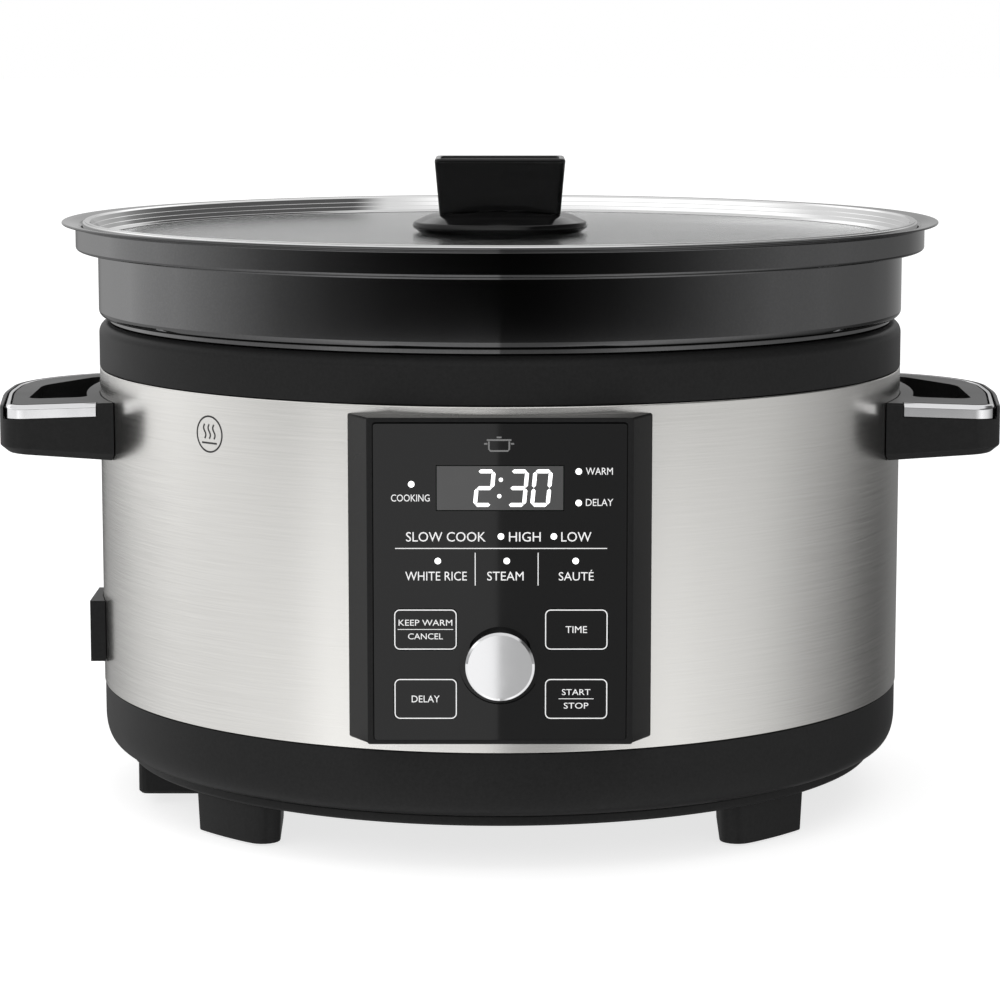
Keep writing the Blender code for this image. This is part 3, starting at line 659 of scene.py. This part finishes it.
def trim_outline(front, end, z, side, end_x):
    """The strip's line, inset by one amount along the front and another round the end and the rear."""
    front_half, rear_half = HALF - front, HALF - end
    corners = [(-60, rear_half), (end - REAR_REACH, rear_half, REAR_CORNER - end),
               (end - MID_REACH, MID_Y, MID_RADIUS), (end - FRONT_REACH, -front_half, FRONT_CORNER - end),
               (-60, -front_half)]
    return tilted([(end_x, rear_half)] + filleted(corners, 14)[1:-1] + [(end_x, -front_half)], z, side)


def gap_outline(z, side):
    """The opening for the fingers at one level: squarer at the front, well rounded at the rear."""
    inner_r, reach, front, rear = BODY_R + 5.0, 174.8, -32.0, 39.0
    corners = [(-math.sqrt(inner_r ** 2 - rear ** 2), rear, 3.0), (-157.5, rear, 5.0), (-reach, 14.0, 18.0),
               (0.6 - reach, front, 6.0), (-math.sqrt(inner_r ** 2 - front ** 2), front, 4.0)]
    arc = body_arc(inner_r, math.asin(front / inner_r), math.asin(rear / inner_r))
    return tilted(filleted(corners + arc, 12), z, side)


def side_handle(hand, side):
    """Handle loop, cut for the fingers, the bright strip and two screws."""
    top, low = HANDLE_TOP, HANDLE_LOW
    levels = ((3.6, low), (3.0, low + 0.1), (2.6, low + 0.35), (0.35, low + 2.2), (0.1, low + 2.5),
              (0.0, low + 2.9), (0.0, top - 1.0), (0.1, top - 0.6), (0.3, top - 0.3), (0.6, top - 0.08),
              (0.9, top))
    made = lofted(f"handle_loop_{hand}", [loop_outline(inset, z, side) for inset, z in levels], handle_black)
    wide, end_x = TRIM_T + 0.3, -146.1
    seat_levels = ((wide, TRIM_LOW - 0.3), (wide, top - 1.0), (wide + 0.2, top - 0.4),
                   (wide + 0.9, top + 0.4), (wide + 1.0, 170))
    seat = []
    for inset, z in seat_levels:
        outer = trim_outline(-3.0, BORDER - 0.15, z, side, end_x)
        seat.append(outer + trim_outline(inset, inset, z, side, end_x)[::-1])
    gap = [gap_outline(z, side) for z in (low - 20, top + 20)]
    tools = [lofted("seat_tool", seat, plain), lofted("gap_tool", gap, plain)]
    for row in ROWS:
        _, y, z = centre(f"handle_screw_{hand}_{row}")
        tools.append(rod_tool("screw_tool", (side * 130, y, z), (side * 157, y, z), 2.0))
    carve(made, tools, 30)
    softened(made, 0.3, 55)
    stand_in(made, "housing", "handle_plastic", f"handle_{hand}")


def handle_strip(hand, side):
    """Bright strip with a flat upright face and a bevelled upper edge, bent round the handle."""
    top, wide = HANDLE_TOP, TRIM_T
    section = ((0.0, TRIM_LOW), (0.0, TRIM_LOW + 0.2), (0.0, top - 1.5), (0.0, top - 1.3), (0.1, top - 1.1),
               (0.3, top - 0.9), (1.1, top - 0.2), (1.3, top - 0.06), (1.5, top), (1.7, top),
               (wide - 0.5, top), (wide - 0.3, top - 0.05), (wide - 0.1, top - 0.2), (wide, top - 0.4),
               (wide, TRIM_LOW))
    paths = []
    for inset, z in section:
        end = BORDER + inset * (TRIM_T - BORDER) / TRIM_T
        paths.append(trim_outline(inset, end, z, side, -146.4))
    made = swept(f"handle_strip_{hand}", paths, trim_chrome)
    stand_in(made, "housing", "bright_trim", f"handle_trim_{hand}")


# ---- pot and lid

def pot():
    """Coated pot: vessel, shoulder on the collar, stepped band, seat and thin flange."""
    flange, band, rim = pot_high.x, 158.25, pot_high.z
    seat, shoulder, step, band_low = rim_low.z - 0.35, 178.3, 180.0, 204.7
    points = [(0, pot_low.z), (123, pot_low.z, 14.0), (129.5, 171.0, 6.0), (134.2, shoulder, 1.5),
              (146.4, shoulder, 0.3), (146.4, step, 0.3), (BODY_R, step, 2.6), (BODY_R, band_low, 1.1),
              (band, band_low, 1.1), (band, 213.2, 0.4), (flange - 1.3, 213.9, 0.4), (flange, 214.3, 0.5),
              (flange - 0.2, rim, 0.45), (160.6, rim - 0.35, 3.0), (157.2, rim - 1.15, 1.0),
              (156.0, rim - 2.2, 0.6), (156.0, seat, 0.5), (151.3, seat, 0.8), (147.4, 203.0, 1.5),
              (147.4, 185.0, 6.0), (127.6, 178.0, 8.0), (120.0, 75.0, 11.0), (0, 75.0)]
    stand_in(turned("pot", filleted(points, 6), pot_coating), "pot", "pot_coating", "cooking_pot")


def lid_ring():
    """Bright rim: stepped top edge, sloping inner wall with fine beads, lower lip under the glass."""
    low, high, outer = rim_low.z, rim_high.z, rim_high.x
    seat, lip, lip_top = 207.3, 143.5, low + 0.8
    points = [(lip, low, 0.2), (148.2, low, 0.3), (151.4, seat, 0.3), (outer, seat, 0.4),
              (outer, high - 0.5, 0.35), (outer - 0.7, high - 0.48, 0.1), (outer - 0.75, high, 0.15),
              (153.9, high, 0.7), (152.9, high - 0.5, 0.4), (152.4, 213.1, 0.1), (152.1, 213.0, 0.1),
              (151.6, 211.4, 0.1), (151.3, 211.3, 0.1), (150.8, 209.8, 0.2), (147.2, 209.3, 0.2),
              (147.2, lip_top, 0.1), (lip, lip_top, 0.1)]
    made = turned("rim_ring", filleted(points, 4), rim_steel, sharp=25)
    stand_in(made, "lid", "bright_trim", "lid_rim")


def lid_pane():
    """Gently domed pane with a hole for the knob's screw."""
    low, high, outer = glass_low.z, glass_high.z, glass_high.x
    hole, crown_r, crown_edge = 4.5, outer - 0.8, 209.0
    steps = 8
    crown = []
    for i in range(steps + 1):
        radius = crown_r - (crown_r - hole) * (i / steps)
        crown.append((radius, high - (high - crown_edge) * (radius / outer) ** 2))
    edge_z = crown[0][1]
    points = [(hole, low), (outer - 0.5, low), (outer, low + 0.5), (outer, edge_z - 0.6),
              (outer - 0.25, edge_z - 0.2)] + crown
    stand_in(turned("pane", points, lid_clear), "lid", "glass", "lid_glass")


def knob():
    """Round domed base and the tapered grip above it, dished on top."""
    low, high, top = dome_low.z, dome_high.z, grip_high.z
    points = [(2.6, low), (30.6, low, 0.6), (33.0, 211.9, 1.2), (32.5, 213.9, 0.9), (26.5, 216.7, 14.0),
              (14.0, 218.2, 12.0), (2.6, high)]
    disc = turned("knob_disc", filleted(points, 6), knob_black, 128)
    stand_in(disc, "lid", "knob_plastic", "knob_base")
    levels = ((22.4, 12.5, 2.2, 215.0), (22.45, 12.6, 2.2, 216.0), (24.2, 15.2, 2.4, 236.2),
              (24.25, 15.3, 2.4, 236.9), (24.1, 15.15, 2.3, 237.45), (23.6, 14.65, 2.0, top),
              (22.6, 13.65, 1.6, top), (22.15, 13.2, 1.4, top - 0.3), (21.95, 13.0, 1.3, top - 0.9),
              (21.0, 12.0, 1.3, 235.4), (20.4, 11.4, 1.2, 235.1))
    loops = []
    for half_w, half_d, corner, z in levels:
        loops.append([(x, y, z) for x, y in rounded_rectangle(half_w, half_d, corner, 8)])
    grip = lofted("knob_handle", loops, knob_black, sharp=30)
    lift = 0.3                       # clearance between the grip and the disc
    seat = [(0, 200), (40, 200), (40, 212), (33.3, 212.2), (32.8, 214.2), (26.5, 216.7 + lift),
            (20.0, 217.6 + lift), (14.0, 218.2 + lift), (0, high + lift)]
    tools = [turned("seat_tool", seat, plain, 96), rod_tool("bore_tool", (0, 0, 205), (0, 0, 229), 2.6)]
    carve(grip, tools, 30)
    stand_in(grip, "lid", "knob_plastic", "knob_grip")


# ---- markings

BACK_LIFT, FRONT_LIFT = 0.01, 0.05   # the two faces of a mark, above the surface it lies on


def flat_mark(name, outlines, surface, wrap=None, face=PLATE_FRONT):
    """Thin raised shapes on the panel from (x, z) outlines, or wrapped round the body."""
    made = bmesh.new()
    for outline in outlines:
        sheets = []
        for lift in (BACK_LIFT, FRONT_LIFT):
            if wrap:
                radius = wrap + lift
                points = [(radius * math.sin(x / wrap), -radius * math.cos(x / wrap), z) for x, z in outline]
            else:
                points = [(x, face - lift, z) for x, z in outline]
            sheets.append([made.verts.new(p) for p in points])
        back, front = sheets
        count = len(front)
        for i in range(count):
            j = (i + 1) % count
            made.faces.new((back[i], back[j], front[j], front[i]))
        for i in range(count // 2 - 1):
            a, b = i, count - 1 - i
            made.faces.new((front[a], front[a + 1], front[b - 1], front[b]))
            made.faces.new((back[b], back[b - 1], back[a + 1], back[a]))
    return new_object(name, made, surface)


def stroke(points, width, closed=False):
    """Outline of an even line, both sides in one path; a closed line repeats its first point."""
    points = [Vector(point) for point in points]
    left, right = [], []
    last = len(points) - 1
    for i, point in enumerate(points):
        before = points[i - 1] if i else points[-2] if closed else point
        after = points[i + 1] if i < last else points[1] if closed else point
        along = (after - before).normalized()
        side = Vector((-along.y, along.x)) * width / 2
        left.append(tuple(point + side))
        right.append(tuple(point - side))
    return left + right[::-1]


def bar(x0, z0, x1, z1, width):
    """Straight line of constant width."""
    return stroke([(x0, z0), (x1, z1)], width)


def disc_outline(x, z, radius, steps=24):
    """A round dot as a path whose two halves face each other."""
    turns = [math.pi * (i + 0.5) / steps for i in range(steps)]
    upper = [(x - radius * math.cos(t), z + radius * math.sin(t)) for t in turns]
    lower = [(x - radius * math.cos(t), z - radius * math.sin(t)) for t in turns]
    return upper + lower[::-1]


def lettering(words, x, z, height, width, surface, face=PLATE_FRONT):
    """Generic word in Blender's own font, centred, scaled to a cap height and a width."""
    curve = bpy.data.curves.new("word", "FONT")
    curve.body = words
    curve.align_x = "CENTER"
    curve.size = 1.0
    curve.extrude = 0.02
    curve.resolution_u = 3
    thing = placed("word", curve)
    bpy.context.view_layer.update()
    mesh = bpy.data.meshes.new_from_object(thing.evaluated_get(bpy.context.evaluated_depsgraph_get()))
    bpy.data.objects.remove(thing, do_unlink=True)
    xs = [v.co.x for v in mesh.vertices]
    capital = max(v.co.y for v in mesh.vertices)
    if "É" in words:
        capital = 0.73               # the accent stands above the capitals
    wide = max(xs) - min(xs)
    middle = (max(xs) + min(xs)) / 2
    for vert in mesh.vertices:
        across = (vert.co.x - middle) * width / wide
        up = (vert.co.y / capital - 0.5) * height
        lift = FRONT_LIFT if vert.co.z > 0 else BACK_LIFT
        vert.co = ((x + across) * MM, (face - lift) * MM, (z + up) * MM)
    mesh.materials.clear()
    mesh.materials.append(surface)
    return placed("word", mesh)


def merged(name, pieces):
    """Join pieces that share a material into one object."""
    made = bmesh.new()
    for piece in pieces:
        made.from_mesh(piece.data)
    surface = pieces[0].data.materials[0]
    mesh = bpy.data.meshes.new(name)
    made.to_mesh(mesh)
    made.free()
    mesh.materials.append(surface)
    for piece in pieces:
        bpy.data.objects.remove(piece, do_unlink=True)
    return placed(name, mesh)


def segment_digit(value, left, low, width, height, slant, weight):
    """Seven-segment digit as slanted bars with pointed gaps between them."""
    lit = {"0": "abcdef", "2": "abged", "3": "abgcd"}[value]
    middle = height / 2
    ends = {"a": ((0, height), (width, height)), "b": ((width, height), (width, middle)),
            "c": ((width, middle), (width, 0)), "d": ((0, 0), (width, 0)), "e": ((0, middle), (0, 0)),
            "f": ((0, height), (0, middle)), "g": ((0, middle), (width, middle))}
    gap = weight * 0.12
    inset = weight / 2 + gap
    shapes = []
    for letter in lit:
        start, end = Vector(ends[letter][0]), Vector(ends[letter][1])
        along = (end - start).normalized()
        side = Vector((-along.y, along.x))
        tip, body = side * 0.01, side * weight / 2
        tip_a, tip_b = start + along * gap, end - along * gap
        body_a, body_b = start + along * inset, end - along * inset
        points = [tip_a + tip, body_a + body, body_b + body, tip_b + tip,
                  tip_b - tip, body_b - body, body_a - body, tip_a - tip]
        shapes.append([(left + p.x + p.y * slant, low + p.y) for p in points])
    return shapes


def panel_marks():
    """Legends, rules, lamps and the display's digits."""
    words = (("COOKING", -29.9, 131.1, 2.35, 12.9), ("WARM", 33.1, 140.1, 2.35, 9.0),
             ("DELAY", 33.2, 129.6, 2.35, 9.1), ("SLOW COOK", -18.1, 118.0, 3.2, 26.6),
             ("HIGH", 8.3, 118.0, 3.2, 10.6), ("LOW", 25.5, 118.0, 3.2, 10.1),
             ("WHITE RICE", -21.4, 104.7, 3.0, 20.6), ("STEAM", 1.8, 104.7, 3.0, 12.2),
             ("SAUTÉ", 25.5, 104.7, 3.0, 11.7))
    pieces = [lettering(*word, white_ink_painted_glow) for word in words]
    rules = [bar(-35.1, 114.05, 35.8, 114.05, 0.3)] + [bar(x, 101.5, x, 112.6, 0.3) for x in (-8.3, 12.75)]
    pieces.append(flat_mark("rules", rules, white_ink_painted_glow))
    stand_in(merged("panel_legends", pieces), "housing", "panel_gloss")
    spots = ((-29.6, 135.7), (26.25, 140.0), (26.25, 129.4), (0.3, 118.1), (18.0, 118.1), (-20.8, 109.8),
             (2.25, 109.8), (25.3, 109.8))
    lamps = flat_mark("panel_lamps", [disc_outline(x, z, 1.08) for x, z in spots], lamp_white)
    stand_in(lamps, "housing", "smoked_window")
    low = window_low.z + 1.1
    height, width, slant, weight = 12.6, 6.5, 0.096, 1.3
    edge = weight / 2
    shapes = []
    for value, left in (("2", -9.0), ("3", 2.15), ("0", 10.05)):
        place = (left + edge, low + edge, width - weight, height - weight)
        shapes += segment_digit(value, *place, slant, weight)
    shapes += [disc_outline(0.3, low + 9.1, 0.7, 12), disc_outline(-0.25, low + 3.6, 0.7, 12)]
    digits = flat_mark("display_digits", shapes, lamp_white, face=window_low.y)
    stand_in(digits, "housing", "smoked_window")


def pot_sign(x, z):
    """Plain pictogram of a lidded pot, as strokes."""
    weight = 0.55
    outline = ((-3.4, 0.9), (-3.4, -1.7), (-2.9, -2.3), (2.9, -2.3), (3.4, -1.7), (3.4, 0.9))
    shapes = [stroke([(x + a, z + b) for a, b in outline], weight)]
    for first, last, up in ((-4.1, 4.1, 1.35), (-0.8, 0.8, 2.25), (-5.0, -3.9, 0.1), (3.9, 5.0, 0.1)):
        shapes.append(bar(x + first, z + up, x + last, z + up, weight))
    return shapes


def heat_sign(turn, z, radius):
    """Three rising waves over a bar in a ring: a generic hot-surface mark for the body's side."""
    x, weight, steps = BODY_R * math.radians(turn), 0.62, 16
    angles = [math.radians(a) for a in range(0, 361, 6)]
    ring = [(x + radius * math.cos(a), z + radius * math.sin(a)) for a in angles]
    shapes = [stroke(ring, weight, closed=True)]
    for k in (-1, 0, 1):
        wave = []
        for i in range(steps + 1):
            share = i / steps
            wave.append((x + k * 2.3 + 0.55 * math.sin(share * 2 * math.pi), z - 1.6 + share * 5.0))
        shapes.append(stroke(wave, weight))
    shapes.append(bar(x - 3.7, z - 3.1, x + 3.7, z - 3.1, 0.65))
    return shapes


def signs():
    """The two pictograms: a pot on the panel and a heat mark on the steel."""
    mark = flat_mark("pot_pictogram", pot_sign(-0.3, 149.2), grey_ink_painted_glow)
    stand_in(mark, "housing", "panel_gloss")
    hot = flat_mark("heat_pictogram", heat_sign(-42.0, 147.2, 6.2), ink_dark, wrap=BODY_R)
    stand_in(hot, "housing", "brushed_steel")


def button_marks():
    """Outline and words printed on each button cap, which move with it."""
    legends = {"keep_warm": (("KEEP WARM", 2.35, 2.0, 18.0), ("CANCEL", -2.3, 2.0, 11.7)),
               "time": (("TIME", 0.0, 2.3, 7.2),), "delay": (("DELAY", 0.0, 2.3, 9.4),),
               "start": (("START", 2.35, 2.0, 9.6), ("STOP", -2.3, 2.0, 8.3))}
    rules = {"keep_warm": 9.3, "start": 5.9}
    margin = 0.2
    for key in BUTTONS:
        low, high = span(f"button_{key}")
        x, z, face = (low.x + high.x) / 2, (low.z + high.z) / 2, low.y
        outline = rounded_rectangle((high.x - low.x) / 2 - margin, (high.z - low.z) / 2 - margin, 1.7, 6, 2)
        outline = [(x + a, z + b) for a, b in outline]
        shapes = [stroke(outline + outline[:1], 0.36, closed=True)]
        if key in rules:
            shapes.append(bar(x - rules[key], z + 0.05, x + rules[key], z + 0.05, 0.22))
        pieces = [flat_mark("frame", shapes, white_ink_painted_glow, face=face)]
        for words, up, height, width in legends[key]:
            pieces.append(lettering(words, x, z + up, height, width, white_ink_painted_glow, face))
        stand_in(merged(f"legend_{key}", pieces), f"{key}_button", "panel_gloss")


# ---- CAD nodes that stay

def finish_cad_nodes():
    """Give every CAD node that stays its material, and soften the edges that show."""
    caps = [f"button_{key}" for key in BUTTONS]
    pads = [f"foot_pad_{row}_{hand}" for row in ROWS for hand in HANDS]
    screws = [f"base_screw_{i}" for i in range(1, 5)]
    screws += [f"handle_screw_{hand}_{row}" for hand in HANDS for row in ROWS]
    looks = {housing_black: ["mains_inlet", "wiring_cover"],
             panel_black: ["control_plate"] + caps,
             window_grey: ["display_window"],
             pad_rubber: ["knob_washer"] + pads,
             plain_metal: ["heating_well", "heating_plate", "heat_shield", "heater_element",
                           "temperature_sensor", "thermal_fuse"],
             screw_zinc: ["knob_screw", "encoder_body", "encoder_shaft"] + screws,
             contact_brass: [f"inlet_pin_{wire}" for wire in ("live", "neutral", "earth")],
             board_green: ["power_board", "control_board"],
             case_grey: ["heater_relay", "display_module"] + [f"switch_{key}" for key in BUTTONS]}
    for surface, names in looks.items():
        for name in names:
            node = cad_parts[name]
            node.data.materials.clear()
            node.data.materials.append(surface)
    widths = {"mains_inlet": 0.7, "wiring_cover": 0.5, "display_window": 0.15, "heater_relay": 0.8}
    widths.update({name: 0.12 for name in caps})
    for name, width in widths.items():
        softened(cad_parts[name], width, 40)
        even_normals(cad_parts[name])


steel_sleeve()
collar()
base()
for row in ROWS:
    for hand in HANDS:
        foot(row, hand)
panel_frame()
metal_dial()
for hand, side in HANDS.items():
    side_handle(hand, side)
    handle_strip(hand, side)
pot()
lid_ring()
lid_pane()
knob()
panel_marks()
signs()
button_marks()
finish_cad_nodes()


# ---- stage, lights and camera

def floor():
    """Pale, faintly glowing table top, as a light table gives."""
    surface = Surface("floor_white", (0.5, 0.5, 0.5), 0.8, Specular_IOR_Level=0.0,
                      Emission_Color=(1, 1, 1, 1), Emission_Strength=0.75)
    slow = surface.noise(surface.place(), 3.0, 2.0)
    surface.feed(surface.tint(slow, (0.49, 0.49, 0.49), (0.51, 0.51, 0.51)), "Base Color")
    made = bmesh.new()
    bmesh.ops.create_circle(made, cap_ends=True, segments=96, radius=14000)
    ground = new_object("floor", made, surface.material)
    ground.visible_glossy = False


# Brightness of the studio by height band and side, as (position, level) stops:
# position 0 is straight ahead of the cooker and 1 is behind it.
BELOW = {"left": ((0, 1.35), (0.02, 1.35), (0.16, 1.75), (0.25, 1.3), (0.5, 1.08), (0.65, 1.04),
                  (0.78, 0.85), (0.87, 0.62), (0.957, 0.42), (0.98, 0.1), (1, 0.06)),
         "right": ((0, 0.62), (0.02, 0.64), (0.1, 1.3), (0.16, 1.5), (0.25, 1.27), (0.374, 1.05),
                   (0.57, 0.55), (0.78, 0.17), (0.87, 0.12), (1, 0.3))}
LEVEL = {"left": ((0, 0.01), (0.07, 0.07), (0.156, 0.2), (0.276, 0.5), (0.427, 1.12), (0.606, 1.75),
                  (0.808, 1.65), (0.892, 1.05), (0.964, 0.55), (0.985, 0.3), (1, 0.25)),
         "right": ((0, 0.01), (0.07, 0.07), (0.156, 0.21), (0.276, 0.52), (0.427, 0.83), (0.606, 0.82),
                   (0.808, 0.48), (0.892, 0.38), (1, 0.45))}
ABOVE = {"left": ((0, 0.3), (0.3, 0.6), (0.5, 0.95), (0.9, 0.8), (1, 0.72)),
         "right": ((0, 0.3), (0.3, 0.5), (0.5, 0.42), (0.7, 0.3), (0.9, 0.42), (0.98, 0.56), (1, 0.6))}


def surroundings():
    """Studio surroundings: bright table, dim band at eye level in front, bright above, darker right."""
    world = bpy.data.worlds.new("studio")
    bpy.context.scene.world = world
    world.use_nodes = True
    world.node_tree.nodes.clear()
    sky = Nodes(world.node_tree)
    split = sky.node("ShaderNodeSeparateXYZ")
    sky.link(sky.node("ShaderNodeTexCoord").outputs["Generated"], split.inputs[0])
    x, y, z = split.outputs
    behind = sky.math("MULTIPLY", sky.math("ADD", sky.math("DIVIDE", y, sky.length(x, y)), 1.0), 0.5)
    to_right = sky.math("GREATER_THAN", x, -0.0006)
    bands = []
    for table in (BELOW, LEVEL, ABOVE):
        sides = []
        for side in ("left", "right"):
            sides.append(sky.curve(behind, [(at, level / 2) for at, level in table[side]]))
        bands.append(sky.blend(to_right, *sides))
    below, level, above = bands
    high = sky.blend(sky.step(x, 0.5, 0.66), 0.5, 0.06)
    glow = sky.math("MULTIPLY", sky.step(x, 0.2, 0.5, 1.0, 0.0), sky.step(z, 0.3, 0.4))
    glow = sky.math("MULTIPLY", glow, sky.step(z, 0.5, 0.6, 1.0, 0.0))
    high = sky.blend(glow, high, 0.8)
    above = sky.blend(sky.step(z, 0.12, 0.3), above, high)
    above = sky.blend(sky.step(z, 0.72, 0.85), above, 0.52)
    strength = sky.blend(sky.step(z, -0.112, -0.105), below, level)
    strength = sky.blend(sky.step(z, -0.055, -0.02), strength, above)
    studio = sky.node("ShaderNodeBackground")
    sky.link(sky.math("MULTIPLY", strength, 2.0), studio.inputs["Strength"])
    white = sky.node("ShaderNodeBackground")
    white.inputs["Color"].default_value = (1, 1, 1, 1)
    seen = sky.node("ShaderNodeMixShader")
    sky.link(sky.node("ShaderNodeLightPath").outputs["Is Camera Ray"], seen.inputs[0])
    sky.link(studio.outputs[0], seen.inputs[1])
    sky.link(white.outputs[0], seen.inputs[2])
    sky.link(seen.outputs[0], sky.node("ShaderNodeOutputWorld").inputs["Surface"])


def soft_light(name, spot, aim, size, power):
    """Rectangular area light that neither the camera nor reflections see."""
    data = bpy.data.lights.new(name, "AREA")
    data.shape = "RECTANGLE"
    data.size, data.size_y = size
    data.energy = power
    lamp = placed(name, data)
    lamp.location = spot
    lamp.rotation_euler = (Vector(aim) - Vector(spot)).to_track_quat("-Z", "Y").to_euler()
    lamp.visible_camera = False
    lamp.visible_glossy = False


def camera():
    """Long lens straight in front of the cooker, looking slightly down."""
    looks_down = 8.2334
    data = bpy.data.cameras.new("camera")
    data.sensor_width = 36.0
    data.lens = 121.08
    data.clip_end = 40.0
    eye = placed("camera", data)
    eye.location = (0, -1.26468, 0.29106)
    eye.rotation_euler = (math.radians(90 - looks_down), 0, 0)
    bpy.context.scene.camera = eye


floor()
surroundings()
soft_light("overhead", (0, -0.4, 2.4), (0, 0, 0.1), (2.4, 2.4), 14)
camera()
bpy.context.scene.view_settings.view_transform = "Standard"
